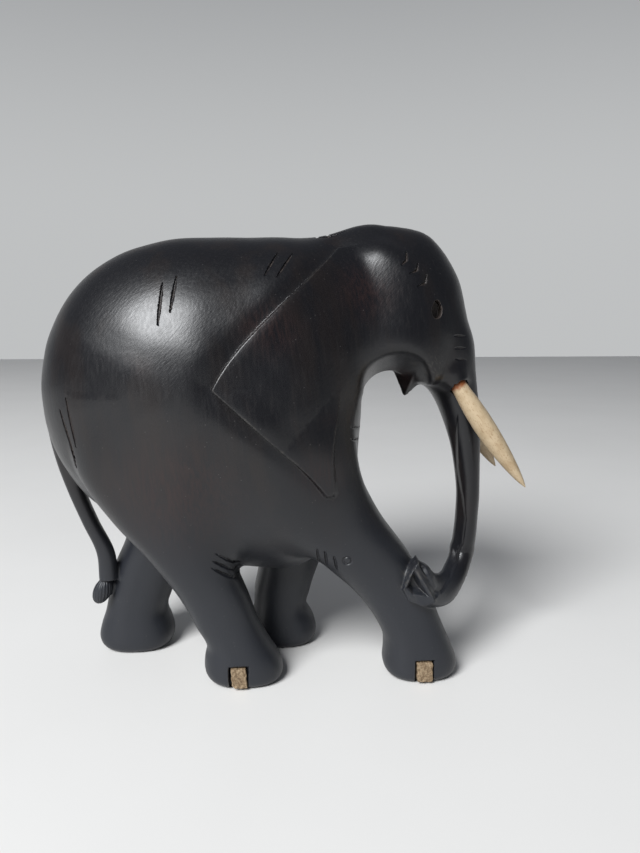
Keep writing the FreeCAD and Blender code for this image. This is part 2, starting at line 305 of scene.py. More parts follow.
def smooth_rows(rows, samples=240):
    """Cubic interpolation of a table's columns over its first column."""
    rows = np.array(sorted(rows), dtype=float)
    at, values = rows[:, 0], rows[:, 1:]
    slope = np.gradient(values, at, axis=0)
    fine = np.linspace(at[0], at[-1], samples)
    i = np.clip(np.searchsorted(at, fine) - 1, 0, len(at) - 2)
    gap = (at[i + 1] - at[i])[:, None]
    t = (fine - at[i])[:, None] / gap
    a = values[i] * (1 + 2 * t) * (1 - t) ** 2 + slope[i] * gap * t * (1 - t) ** 2
    b = values[i + 1] * t * t * (3 - 2 * t) + slope[i + 1] * gap * t * t * (t - 1)
    return fine, (a + b)


def look_up(table, at):
    """The table's columns at these places."""
    fine, values = table
    return [np.interp(at, fine, values[:, c]) for c in range(values.shape[1])]


def smooth_step(low, high, value):
    t = np.clip((value - low) / (high - low), 0.0, 1.0)
    return t * t * (3 - 2 * t)


def join(a, b, blend):
    """Smooth union of two distances."""
    h = np.clip(0.5 + 0.5 * (b - a) / blend, 0.0, 1.0)
    return b + (a - b) * h - blend * h * (1 - h)


def meet(a, b, blend):
    """Smooth intersection of two distances."""
    return -join(-a, -b, blend)


def oval(p, mass):
    """Near-distance to an ellipsoid."""
    centre, half = np.array(mass[0]), np.array(mass[1])
    q = (p - centre) / half
    k0 = np.sqrt((q * q).sum(1)) + 1e-9
    q /= half
    k1 = np.sqrt((q * q).sum(1)) + 1e-9
    return k0 * (k0 - 1) / k1


def flat_oval(u, v, half_u, half_v, square=2.0):
    """Near-distance to an ellipse, or a squarer one, in a plane."""
    a, b = np.abs(u) / half_u, np.abs(v) / half_v
    k0 = (a ** square + b ** square) ** (1.0 / square) + 1e-9
    k1 = np.sqrt((a / half_u) ** 2 + (b / half_v) ** 2) / np.sqrt(a * a + b * b + 1e-12) * k0 + 1e-9
    return k0 * (k0 - 1) / k1


def leg(p, table, side, top):
    rear, front, inner, outer = look_up(table, p[:, 2])
    u = p[:, 0] - (rear + front) / 2
    v = p[:, 1] * side - (inner + outer) / 2
    d = flat_oval(u, v, (front - rear) / 2, (outer - inner) / 2, LEG_SQUARE) * 0.9
    d = meet(d, -p[:, 2], SOLE_ROUND)
    return np.maximum(d, p[:, 2] - top)


def swept(p, centre, start, end, shape):
    """Near-distance to a thick arc, the angle, and how far out and aside each point lies.

    shape gives, for the angle along the arc, the radial place, thickness, width and place across."""
    dx, dz = p[:, 0] - centre[0], p[:, 2] - centre[1]
    r = np.hypot(dx, dz)
    middle, reach = (start + end) / 2, abs(start - end) / 2
    turn = np.degrees(np.arctan2(dz, dx)) - middle
    turn = (turn + 180.0) % 360.0 - 180.0
    held = np.clip(turn, -reach, reach)
    place, thick, wide, across = shape(held + middle)
    past = np.radians(turn - held)
    along = r * np.sin(past)
    radial = r * np.cos(past) - place
    half = np.stack([thick / 2, wide / 2, np.minimum(thick, wide) / 2])
    q = np.stack([radial, p[:, 1] - across, along]) / half
    k0 = np.sqrt((q * q).sum(0)) + 1e-9
    k1 = np.sqrt(((q / half) ** 2).sum(0)) + 1e-9
    return k0 * (k0 - 1) / k1, held + middle, q[0], q[1]


HANG_TABLE = smooth_rows([(a, (i + o) / 2, o - i, w) for a, i, o, w in HANG])
CURL_TABLE = smooth_rows(CURL)
HANG_TOP = HANG[0][0]
HANG_END = HANG[-1][0]
HANG_END_RADIUS = (HANG[-1][1] + HANG[-1][2]) / 2
CURL_CENTRE = [
    place + (HANG_END_RADIUS - CURL_START_RADIUS) * turn(math.radians(HANG_END))
    for place, turn in zip(HANG_CENTRE, (math.cos, math.sin))
]


def hang_shape(angle):
    return *look_up(HANG_TABLE, angle), 0.0


def curl_shape(angle):
    return look_up(CURL_TABLE, (angle - HANG_END) / (CURL_END - HANG_END))


def round_cone(p, shape):
    """Near-distance to a cone with round ends."""
    a, ra, b, rb = np.array(shape[0]), shape[1], np.array(shape[2]), shape[3]
    along = b - a
    t = np.clip(((p - a) @ along) / (along @ along), 0.0, 1.0)
    return np.sqrt(((p - a - t[:, None] * along) ** 2).sum(1)) - (ra + (rb - ra) * t)


def run_distance(x, z, a, b):
    """Distance to the run from a to b, the share of the way along it, and its length each way."""
    ex, ez = b[0] - a[0], b[1] - a[1]
    t = np.clip(((x - a[0]) * ex + (z - a[1]) * ez) / (ex * ex + ez * ez), 0.0, 1.0)
    return np.hypot(x - a[0] - t * ex, z - a[1] - t * ez), t, ex, ez


def outline_distance(x, z, points):
    """Signed distance to a closed outline, negative inside."""
    best = np.full_like(x, 1e9)
    inside = np.zeros(x.shape, bool)
    for a, b in zip(points, points[1:] + points[:1]):
        off, _, ex, ez = run_distance(x, z, a, b)
        best = np.minimum(best, off)
        crosses = (a[1] > z) != (b[1] > z)
        inside ^= crosses & (x < ex * (z - a[1]) / (ez or 1e-9) + a[0])
    return np.where(inside, -best, best)


def line_distance(x, z, points):
    """Distance to an open chain of straight runs, which side, and the place along it."""
    best = np.full_like(x, 1e9)
    side = np.zeros_like(x)
    place = np.zeros_like(x)
    runs = len(points) - 1
    for i, (a, b) in enumerate(zip(points, points[1:])):
        off, t, ex, ez = run_distance(x, z, a, b)
        nearer = off < best
        best = np.where(nearer, off, best)
        side = np.where(nearer, np.sign(ex * (z - a[1]) - ez * (x - a[0])), side)
        place = np.where(nearer, (i + t) / runs, place)
    return best, side, place


LEGS = [(RIGHT_HIND, -1), (RIGHT_FRONT, -1), (LEFT_HIND, 1), (LEFT_FRONT, 1)]
LEG_TABLES = [(smooth_rows(rows), side, rows[-1][0]) for rows, side in LEGS]
TAIL_TABLE = smooth_rows(TAIL)
TUSK_LENGTH = float(np.linalg.norm(TUSK_RUN))


def cad_box(node):
    """A node's corners in millimetres."""
    low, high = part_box(node)
    return np.array(low) / MM, np.array(high) / MM


def tusk_tip(side):
    low, high = cad_box("tusk_left" if side > 0 else "tusk_right")
    return np.array([high[0], high[1] - TUSK_INSET if side > 0 else low[1] + TUSK_INSET, low[2]])


NAILS = ["toenail_front_right", "toenail_rear_right", "toenail_front_left", "toenail_rear_left"]
NAIL_BOXES = [(*cad_box(name), -1 if "right" in name else 1) for name in NAILS]


def unit(vector):
    return np.array(vector, float) / np.linalg.norm(vector)


def lip(s):
    """A four-sided point. s has the distance from the middle plane for y."""
    q = s - np.array(LIP_TIP)
    rear = q @ unit(np.cross(LIP_REAR, LIP_SIDE))
    front = q @ unit(np.cross(LIP_SIDE, LIP_FRONT))
    return np.maximum(meet(rear, front, LIP_ROUND), s[:, 2] - LIP_TOP)


def notches(along, pitch):
    """Rows of small nicks, as a depth."""
    return NOTCH_DEPTH * np.clip(np.cos(2 * math.pi * along / pitch), 0.0, 1.0) ** 5


def groove(p, aside):
    """The step beside the trunk's groove, as a depth."""
    off, side, place = line_distance(p[:, 0], p[:, 2], GROOVE)
    reach = np.where(side < 0, GROOVE_REACH, GROOVE_EDGE)
    fade = smooth_step(0.0, GROOVE_ENDS[0], place) * smooth_step(1.0, GROOVE_ENDS[1], place)
    fade *= smooth_step(*GROOVE_ASIDE, np.abs(aside))
    return GROOVE_DEPTH * np.clip(1 - off / reach, 0.0, 1.0) ** 1.5 * fade


def hanging_trunk(p):
    d, angle, outward, aside = swept(p, HANG_CENTRE, HANG_TOP, HANG_END, hang_shape)
    edge = smooth_step(0.8, 1.0, outward) * np.exp(-(p[:, 1] / BROW_NOTCH_HALF) ** 2)
    row = notches(np.radians(angle) * HANG_END_RADIUS, BROW_NOTCH_PITCH)
    d = d + row * edge * (angle > BROW_NOTCH_LAST)
    return d + groove(p, aside)


def trunk_end(p):
    """The flat face with its nostril, as a depth to take off the curl's end."""
    x, z = p[:, 0], p[:, 2]
    depth = NOSTRIL_DEPTH * smooth_step(*NOSTRIL_SLOPE, outline_distance(x, z, NOSTRIL))
    depth += TROUGH_DEPTH * np.clip(1 - line_distance(x, z, TROUGH)[0] / TROUGH_HALF, 0.0, 1.0)
    for line in RIDGES:
        depth -= RIDGE_HEIGHT * np.exp(-(line_distance(x, z, line)[0] / RIDGE_HALF) ** 2)
    return depth * smooth_step(FACE_ACROSS + FACE_REACH[0], FACE_ACROSS + FACE_REACH[1], p[:, 1])


def curled_trunk(p):
    d, angle, outward, aside = swept(p, CURL_CENTRE, HANG_END, CURL_END, curl_shape)
    edge = smooth_step(0.7, 0.95, outward)
    edge = edge * smooth_step(-10.0, -25.0, angle) * smooth_step(-95.0, -80.0, angle)
    row = notches(np.radians(angle) * CURL_START_RADIUS * 1.3, CURL_NOTCH_PITCH)
    d = d + CURL_NOTCH_DEEPER * row * edge
    d = d + groove(p, aside)
    block = meet(outline_distance(p[:, 0], p[:, 2], FACE), p[:, 1] - FACE_ACROSS - FACE_THICK, 3.0)
    d = join(d, block, 1.4)
    d = meet(d, FACE_ACROSS - FACE_LEAN * (p[:, 0] - FACE[0][0]) - p[:, 1], FACE_ROUND)
    return d + trunk_end(p)


def temple(s):
    """The side of the head, up to where it turns in to the crown."""
    x = s[:, 0] - TEMPLE_TOP[0]
    top = TEMPLE_TOP[1] - np.where(x < 0, *TEMPLE_FALL) * x * x
    d = meet(oval(s, TEMPLE), (s[:, 2] - top) * TEMPLE_SLANT, TEMPLE_ROUND)
    return meet(d, TEMPLE_LOW - s[:, 2], TEMPLE_LOW_ROUND)


def trunk_and_head(p):
    """Everything but the ears, legs and tail."""
    s = p.copy()
    s[:, 1] = np.abs(s[:, 1])
    d = join(oval(p, RUMP), oval(p, BARREL), TORSO_BLEND)
    d = join(d, oval(p, CHEST), TORSO_BLEND)
    d = join(d, oval(p, NECK), TORSO_BLEND)
    d = join(d, oval(p, CROWN), CROWN_BLEND)
    d = join(d, temple(s), TEMPLE_BLEND)
    d = join(d, oval(s, CHEEK), CHEEK_BLEND)
    off = line_distance(p[:, 0], p[:, 2], [ARCH_CENTRE, ARCH_FOOT])[0]
    above = smooth_step(*ARCH_TOP, (p[:, 2] - ARCH_CENTRE[1]) / (off + 1e-9))
    flare = ARCH_LOW_FLARE + (ARCH_FLARE - ARCH_LOW_FLARE) * above
    arch = ARCH_RADIUS + flare * np.maximum(s[:, 1] - ARCH_FLARE_START, 0.0) - off
    d = meet(d, arch, ARCH_ROUND)
    blend = HANG_BLEND + (BROW_BLEND - HANG_BLEND) * smooth_step(*BROW_HEIGHTS, p[:, 2])
    d = join(d, hanging_trunk(p), blend)
    d = join(d, oval(p, MUZZLE), MUZZLE_BLEND)
    return join(d, lip(s), LIP_BLEND)


def ears(p, d):
    """Raises the ear panels out of the body."""
    x, z = p[:, 0], p[:, 2]
    outline = [EAR_TOP, EAR_BACK, EAR_BOTTOM] + EAR_FRONT
    t = np.clip((z - EAR_BACK[1]) / (EAR_TOP[1] - EAR_BACK[1]), 0.0, 1.0)
    bowed = x + EAR_BOW * 27 / 4 * t * (1 - t) ** 2
    flat = outline_distance(bowed, z, outline)
    rear = line_distance(bowed, z, [EAR_TOP, EAR_BACK, EAR_BOTTOM])[0]
    front = line_distance(x, z, [EAR_BOTTOM] + EAR_FRONT)[0]
    raise_by = EAR_RAISE * smooth_step(0.0, EAR_FADE, front)
    raise_by = np.maximum(raise_by, EAR_LOW_RAISE * smooth_step(*EAR_LOW, z))
    raise_by -= EAR_DISH * smooth_step(1.0, EAR_DISH_REACH, rear) * smooth_step(0.0, EAR_FADE, front)
    dip = EAR_DIP * np.exp(-(rear / EAR_DIP_REACH) ** 2) * (flat > 0)
    side = np.abs(p[:, 1]) > EAR_INSIDE
    panel = np.where(side, meet(flat, d - raise_by, EAR_EDGE), FAR)
    return np.minimum(d + dip * side, panel)


def knife_cuts(p):
    """The decorative cuts, as a depth."""
    depth = np.zeros(len(p))
    for side in (-1, 1):
        for half, deep, shift, lines in CUTS:
            move = shift if side > 0 else 0.0
            for line in lines:
                points = [(x + move, z) for x, z in line]
                xs, zs = [q[0] for q in points], [q[1] for q in points]
                near = (p[:, 0] > min(xs) - 1) & (p[:, 0] < max(xs) + 1)
                near &= (p[:, 2] > min(zs) - 1) & (p[:, 2] < max(zs) + 1)
                near &= p[:, 1] * side > CUT_INSIDE
                off, _, place = line_distance(p[near, 0], p[near, 2], points)
                wide = half * (CUT_ENDS + CUT_SWELL * place * (1 - place))
                depth[near] = np.maximum(depth[near], deep * np.clip(1 - off / wide, 0.0, 1.0))
    for x in BACK_NOTCHES:
        on_back = (p[:, 2] > BACK_NOTCH_LOW) & (np.abs(p[:, 1]) < BACK_NOTCH_REACH)
        notch = BACK_NOTCH_DEPTH * np.clip(1 - np.abs(p[:, 0] - x) / BACK_NOTCH_HALF, 0.0, 1.0)
        depth = np.maximum(depth, notch * on_back)
    ring = np.abs(np.hypot(p[:, 0] - KNOT[0], p[:, 2] - KNOT[1]) - KNOT_RADIUS)
    knot = KNOT_DEPTH * np.clip(1 - ring / KNOT_HALF, 0.0, 1.0)
    return np.maximum(depth, knot * (p[:, 1] < -CUT_INSIDE))


def unevenness(p):
    x, y, z = p.T * WAVE_SCALE
    lengthwise = np.sin(x * 1.3 + 1.7 * np.sin(z * 0.8))
    return WAVE_HEIGHT * lengthwise * np.cos(z * 1.1 + 1.3 * np.sin(y * 0.9 + x * 0.5))


TUSK_TIPS = {side: tusk_tip(side) for side in (-1, 1)}


def tusk_axis(side):
    """The tusk's base point, and its direction towards the tip."""
    tip = TUSK_TIPS[side]
    base = tip + np.array(TUSK_RUN) * (1, -side, 1)
    return base, unit(tip - base)


def collars(p, d):
    """The wood round each tusk, with its socket."""
    for side in (-1, 1):
        base, along = tusk_axis(side)
        root, rim = base - along * COLLAR_INWARD, base + along * COLLAR_OUTWARD
        collar = round_cone(p, (root, COLLAR_ROOT, rim, COLLAR_RIM))
        collar = meet(collar, (p - rim) @ along, COLLAR_ROUND)
        d = join(d, collar, COLLAR_BLEND)
        reach = (p - base) @ along
        off = np.linalg.norm(p - base - reach[:, None] * along, axis=1)
        radius = np.interp(reach / TUSK_LENGTH, *zip(*TUSK))
        bore = np.maximum(off - radius - SOCKET_GAP, -reach - SOCKET_DEPTH)
        d = np.maximum(d, -np.maximum(bore, reach - SOCKET_LENGTH))
    return d


def eye_hole(p):
    u, v = p[:, 0] - EYE[0], p[:, 2] - EYE[1]
    wide = EYE_HALF[0] * (1.0 - EYE_TAPER * np.clip(v / EYE_HALF[1], 0.0, 1.0))
    return np.maximum(flat_oval(u, v, wide, EYE_HALF[1]), EYE_FLOOR - np.abs(p[:, 1]))


def pockets(p, d):
    """The pockets that the toenails are let into."""
    for low, high, side in NAIL_BOXES:
        middle, half = (low + high) / 2, (high - low) / 2 + NAIL_GAP
        middle[1] += side * POCKET_REACH
        half[1] += POCKET_REACH
        q = np.abs(p - middle) - half
        d = np.maximum(d, -q.max(axis=1))
    return d


def tail(p):
    rear, thick, wide, across = look_up(TAIL_TABLE, p[:, 2])
    d = flat_oval(p[:, 0] - rear - thick / 2, p[:, 1] - across, thick / 2, wide / 2, TAIL_SQUARE)
    d = np.maximum(d, np.maximum(p[:, 2] - TAIL[0][0], TAIL[-1][0] - p[:, 2]))
    q = p.copy()
    q[:, 0] -= TUFT_LEAN * (p[:, 2] - TUFT[0][2])
    turn = np.arctan2(q[:, 1] - TUFT[0][1], q[:, 0] - TUFT[0][0])
    strands = np.cos(turn * TUFT_STRANDS + STRAND_TWIST * (p[:, 2] - TUFT[0][2])) ** 2
    ball = oval(q, TUFT) + STRAND_DEPTH * strands
    return join(d, ball, TUFT_BLEND)


def body_field(p):
    d = trunk_and_head(p) + unevenness(p)
    d = ears(p, d)
    out = smooth_step(*LEG_OUTSIDE, np.abs(p[:, 1]))
    blend = CROTCH_BLEND + (LEG_BLEND - CROTCH_BLEND) * out
    for table, side, top in LEG_TABLES:
        d = join(d, leg(p, table, side, top), blend)
    d = join(d, curled_trunk(p), CURL_BLEND)
    d = join(d, tail(p), TAIL_BLEND)
    d = collars(p, d)
    d = d + knife_cuts(p)
    d = np.maximum(d, -eye_hole(p))
    d = pockets(p, d)
    return np.maximum(d, -p[:, 2])


# ---- Meshing ----

CHUNK = 16000
WORKERS = ThreadPoolExecutor(4)
WELD = 0.0001               # corners closer than this are one
BODY_BOX = (-84.0, -42.0, -2.0), (72.0, 42.0, 154.0)
BODY_CELL = 1.25
BODY_FACES = 190000         # the most triangles
REFINE_ANGLES = [16.0, 28.0]
KEEP_ANGLE = 34.0           # where the surface turns faster, it isn't thinned
NORMAL_STEP = 0.1


def evaluate(field, points):
    """The field at these points, worked out in batches whose order is kept."""
    parts = [points[i:i + CHUNK] for i in range(0, len(points), CHUNK)]
    return np.concatenate(list(WORKERS.map(field, parts)))


def gradient(field, points, step):
    """Unit outward directions of the field, how steep it is, and its values."""
    here = evaluate(field, points)
    out = np.empty_like(points)
    for axis in range(3):
        move = np.zeros(3)
        move[axis] = step
        out[:, axis] = evaluate(field, points + move) - here
    size = np.linalg.norm(out, axis=1, keepdims=True) + 1e-12
    return out / size, size[:, 0] / step, here


def sculpt(field, low, high, cell, block=4):
    """Vertices and quads of the field's zero surface inside a box."""
    low = np.array(low, float)
    blocks = np.ceil((np.array(high, float) - low) / (cell * block)).astype(int)
    index = np.indices(blocks).reshape(3, -1).T
    centres = low + (index + 0.5) * block * cell - 0.5 * cell
    rough = evaluate(field, centres)
    near = np.abs(rough) < block * cell * 0.9 + 1.2
    values = np.repeat(np.repeat(np.repeat(rough.reshape(blocks), block, 0), block, 1), block, 2)
    values = values.astype(np.float32)
    offsets = np.indices((block,) * 3).reshape(3, -1).T
    fine = (index[near][:, None, :] * block + offsets[None]).reshape(-1, 3)
    values[fine[:, 0], fine[:, 1], fine[:, 2]] = evaluate(field, low + fine * cell)
    return surface_nets(values, low, cell)


def surface_nets(values, low, cell):
    inside = values < 0
    shape = np.array(values.shape) - 1
    some = np.zeros(shape, bool)
    every = np.ones(shape, bool)
    corners = [(i, j, k) for i in (0, 1) for j in (0, 1) for k in (0, 1)]
    for i, j, k in corners:
        part = inside[i:i + shape[0], j:j + shape[1], k:k + shape[2]]
        some |= part
        every &= part
    cells = np.argwhere(some & ~every)
    number = np.full(shape, -1, np.int32)
    number[cells[:, 0], cells[:, 1], cells[:, 2]] = np.arange(len(cells))
    total = np.zeros((len(cells), 3))
    count = np.zeros(len(cells))
    for a in corners:
        for axis in range(3):
            if a[axis]:
                continue
            b = list(a)
            b[axis] = 1
            va = values[tuple((cells + a).T)]
            vb = values[tuple((cells + b).T)]
            cross = (va < 0) != (vb < 0)
            t = np.where(cross, va / np.where(cross, va - vb, 1.0), 0.0)
            point = np.tile(np.array(a, float), (len(cells), 1))
            point[:, axis] += t
            total += point * cross[:, None]
            count += cross
    vertices = low + (cells + total / count[:, None]) * cell
    quads = []
    for axis in range(3):
        u, v = (axis + 1) % 3, (axis + 2) % 3
        first = [slice(1, -1)] * 3
        first[axis] = slice(0, -1)
        second = list(first)
        second[axis] = slice(1, None)
        change = inside[tuple(first)] != inside[tuple(second)]
        at = np.argwhere(change)
        at[:, u] += 1
        at[:, v] += 1
        starts_in = inside[tuple(at.T)]
        ring = []
        for du, dv in ((0, 0), (-1, 0), (-1, -1), (0, -1)):
            c = at.copy()
            c[:, u] += du
            c[:, v] += dv
            ring.append(number[tuple(c.T)])
        quad = np.stack(ring, 1)
        quad[~starts_in] = quad[~starts_in][:, ::-1]
        quads.append(quad)
    return vertices, np.concatenate(quads)


def settle(field, vertices, cell, rounds=2):
    """Moves the vertices onto the zero surface. Also gives the outward directions there."""
    for _ in range(rounds):
        normal, slope, here = gradient(field, vertices, cell * 0.1)
        distance = here / np.maximum(slope, 0.3)
        vertices = vertices - normal * np.clip(distance, -0.5 * cell, 0.5 * cell)[:, None]
    return vertices, normal


def turning(ends, normal, spread):
    """Marks the vertices where the surface turns this fast from one to the next, and those around."""
    turn = 1 - (normal[ends[:, 0]] * normal[ends[:, 1]]).sum(1)
    marked = np.zeros(len(normal), bool)
    marked[ends[turn > 1 - math.cos(math.radians(spread))]] = True
    for _ in range(2):
        wider = marked.copy()
        wider[ends[marked[ends[:, 0]], 1]] = True
        wider[ends[marked[ends[:, 1]], 0]] = True
        marked = wider
    return marked


def refine(vertices, faces, normal, spread):
    """Halves the edges next to small details, where the surface turns quickly."""
    mesh = bmesh.new()
    made = [mesh.verts.new(place) for place in vertices.tolist()]
    for face in faces.tolist():
        mesh.faces.new([made[i] for i in face])
    mesh.verts.index_update()
    ends = np.array([(edge.verts[0].index, edge.verts[1].index) for edge in mesh.edges])
    split = turning(ends, normal, spread)[ends].all(axis=1)
    edges = [edge for edge, chosen in zip(mesh.edges, split) if chosen]
    bmesh.ops.subdivide_edges(mesh, edges=edges, cuts=1, use_grid_fill=True)
    bmesh.ops.triangulate(mesh, faces=mesh.faces)
    mesh.verts.index_update()
    places = np.array([vertex.co for vertex in mesh.verts], float)
    corners = np.array([[vertex.index for vertex in face.verts] for face in mesh.faces])
    mesh.free()
    return places, corners


def read(items, key, width, kind=float):
    """The numbers that a mesh keeps for these items, one row for each."""
    out = np.empty(len(items) * width, kind)
    items.foreach_get(key, out)
    return out.reshape(-1, width)


def weld(mesh):
    """Joins corners that fall together, so that no face is left without area."""
    work = bmesh.new()
    work.from_mesh(mesh)
    bmesh.ops.remove_doubles(work, verts=work.verts, dist=WELD * MM)
    work.to_mesh(mesh)
    work.free()


def thinned(vertices, faces, limit, smooth):
    """The same surface with no more than this many triangles. Only its smooth parts are thinned."""
    if len(faces) <= limit:
        return vertices, faces
    made = mesh_object("thinning", vertices, faces.tolist())
    made.vertex_groups.new(name="smooth").add(np.flatnonzero(smooth).tolist(), 1.0, "REPLACE")
    step = made.modifiers.new("thin", "DECIMATE")
    step.ratio = limit / len(faces)
    step.vertex_group = "smooth"
    step.vertex_group_factor = 1000.0
    done = made.evaluated_get(bpy.context.evaluated_depsgraph_get()).to_mesh()
    weld(done)
    places = read(done.vertices, "co", 3) / MM
    corners = read(done.polygons, "vertices", 3, np.int32)
    bpy.data.meshes.remove(made.data)
    return places, corners


def placed(name, data):
    made = bpy.data.objects.new(name, data)
    bpy.context.scene.collection.objects.link(made)
    return made


def mesh_object(name, vertices, faces):
    mesh = bpy.data.meshes.new(name)
    mesh.from_pydata((vertices * MM).tolist(), [], faces)
    mesh.polygons.foreach_set("use_smooth", np.ones(len(mesh.polygons), bool))
    mesh.update()
    return placed(name, mesh)


def paint(made, name, values):
    """Keeps one number for each vertex, for the materials."""
    kept = made.data.attributes.new(name, "FLOAT", "POINT")
    kept.data.foreach_set("value", values.astype(np.float32))


def fit(piece, node):
    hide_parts(node)
    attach(piece, "root")


def surface_bend(made, normal):
    """How sharply the surface turns outward at each vertex (positive) or inward."""
    mesh = made.data
    ends = read(mesh.edges, "vertices", 2, np.int32)
    places = read(mesh.vertices, "co", 3) / MM
    run = places[ends[:, 1]] - places[ends[:, 0]]
    turn = normal[ends[:, 1]] - normal[ends[:, 0]]
    length = np.linalg.norm(run, axis=1) + 1e-6
    bend = (run * turn).sum(1) / length
    total, count = np.zeros(len(places)), np.zeros(len(places))
    for column in (0, 1):
        np.add.at(total, ends[:, column], bend)
        np.add.at(count, ends[:, column], length)
    curve = total / count
    for _ in range(2):
        total, count = curve.copy(), np.ones(len(places))
        for a, b in ((0, 1), (1, 0)):
            np.add.at(total, ends[:, a], curve[ends[:, b]])
            np.add.at(count, ends[:, a], 1.0)
        curve = total / count
    return curve


def carved_body():
    cell = BODY_CELL
    vertices, faces = sculpt(body_field, *BODY_BOX, cell)
    vertices, normal = settle(body_field, vertices, cell)
    for spread in REFINE_ANGLES:
        known = len(vertices)
        vertices, faces = refine(vertices, faces, normal, spread)
        cell /= 2
        fresh, fresh_normal = settle(body_field, vertices[known:], cell)
        vertices[known:] = fresh
        normal = np.concatenate([normal, fresh_normal])
    ends = np.concatenate([faces[:, :2], faces[:, 1:], faces[:, ::2]])
    smooth = ~turning(ends, normal, KEEP_ANGLE)
    vertices, faces = thinned(vertices, faces, BODY_FACES, smooth)
    vertices[:, 2] = np.maximum(vertices[:, 2], 0.0)
    made = mesh_object("body_carving", vertices, faces.tolist())
    normal, _, _ = gradient(body_field, vertices, NORMAL_STEP)
    made.data.normals_split_custom_set_from_vertices(normal.tolist())
    paint(made, "bend", surface_bend(made, normal))
    in_eye = smooth_step(0.12, 0.0, eye_hole(vertices))
    paint(made, "cut", np.maximum(knife_cuts(vertices), in_eye))
    fit(made, "carved_body")
    return made


# ---- Tusks and toenails ----

TUSK_RINGS, TUSK_SPOKES = 150, 72
TUSK_FACETS = 7
TUSK_FACET_DEPTH = 0.014
TUSK_WAVE = 0.008
TUSK_TABLE = smooth_rows(TUSK)
GLUE_BEAD = (0.004, 0.012, 0.22)   # place along the tusk, reach, height


def tusk(side, node):
    """Rings along the bowed axis, a little faceted by the knife."""
    base, along = tusk_axis(side)
    across = unit(np.cross(along, (0.0, 0.0, 1.0)))
    up = np.cross(across, along)
    first, last = TUSK[0][0], TUSK[-1][0]
    share = first + (last - first) * np.sin(np.linspace(0.0, 0.5, TUSK_RINGS) * math.pi)
    radius, = look_up(TUSK_TABLE, share)
    place, reach, height = GLUE_BEAD
    radius = radius + height * np.exp(-((share - place) / reach) ** 2)
    angle = np.linspace(0.0, 2 * math.pi, TUSK_SPOKES, endpoint=False)
    s, a = np.meshgrid(share, angle, indexing="ij")
    facets = np.abs(np.sin(a * TUSK_FACETS / 2 + 1.1 * np.sin(4.0 * s + side)))
    waves = np.sin(s * 31 + 2 * np.sin(a * 2 + side)) * np.sin(a * 3 + s * 17)
    r = radius[:, None] * (1 - TUSK_FACET_DEPTH * facets + TUSK_WAVE * waves)
    bow = TUSK_BOW * 4 * s * (1 - s)
    points = base + along * (s * TUSK_LENGTH)[..., None] + up * (r * np.sin(a) - bow)[..., None]
    points = (points + across * (r * np.cos(a))[..., None]).reshape(-1, 3)
    ring = np.arange(TUSK_RINGS - 1)[:, None] * TUSK_SPOKES
    spoke = np.arange(TUSK_SPOKES)[None, :]
    beside = (spoke + 1) % TUSK_SPOKES
    beyond = ring + TUSK_SPOKES
    faces = np.stack([ring + spoke, beyond + spoke, beyond + beside, ring + beside], -1)
    faces = faces.reshape(-1, 4).tolist()
    ends = points.reshape(TUSK_RINGS, TUSK_SPOKES, 3)[[0, -1]].mean(1)
    points = np.concatenate([points, ends])
    rear, tip = len(points) - 2, len(points) - 1
    last_ring = (TUSK_RINGS - 1) * TUSK_SPOKES
    for i in range(TUSK_SPOKES):
        j = (i + 1) % TUSK_SPOKES
        faces.append([i, j, rear])
        faces.append([last_ring + j, last_ring + i, tip])
    made = mesh_object(node + "_carving", points, faces)
    paint(made, "along", np.concatenate([s.ravel(), [first, last]]))
    fit(made, node)
    return made


NAIL_CELL = 0.2
NAIL_ROUND = 0.45
NAIL_SHRINK = 0.12
NAIL_TILT = {"toenail_rear_right": 7.0, "toenail_front_right": 2.5}
NAIL_CHIP = {"toenail_rear_right": 1.4}


def toenail(node, low, high, side):
    """A rough block of bone, let into the foot."""
    middle, half = (low + high) / 2, (high - low) / 2
    lean = math.tan(math.radians(NAIL_TILT.get(node, 4.0)))
    chip = NAIL_CHIP.get(node, 0.5)

    def field(p):
        q = p - middle
        pit = 0.09 * np.sin(q[:, 0] * 3.1 + middle[0]) * np.sin(q[:, 2] * 2.7 + q[:, 1])
        pit += 0.05 * np.sin(q[:, 0] * 7.3 + 2.0 * q[:, 2] + middle[0])
        q[:, 0] += (q[:, 2] - half[2]) * lean * 0.5
        d = np.abs(q) - half + NAIL_ROUND + np.array([lean * half[2] * 0.5, 0.0, 0.0])
        outside = np.sqrt((np.maximum(d, 0.0) ** 2).sum(1))
        block = outside + np.minimum(d.max(1), 0.0) - NAIL_ROUND
        corner = (q[:, 0] + half[0]) + (q[:, 2] + half[2]) + np.maximum(q[:, 1] * -side, 0.0) * 0.3
        return np.maximum(block, (chip - corner) * 0.7) + pit + NAIL_SHRINK

    vertices, faces = sculpt(field, low - 1.0, high + 1.0, NAIL_CELL)
    vertices, _ = settle(field, vertices, NAIL_CELL)
    made = mesh_object(node + "_carving", vertices, faces.tolist())
    weld(made.data)
    fit(made, node)
    return made


# ---- Materials ----

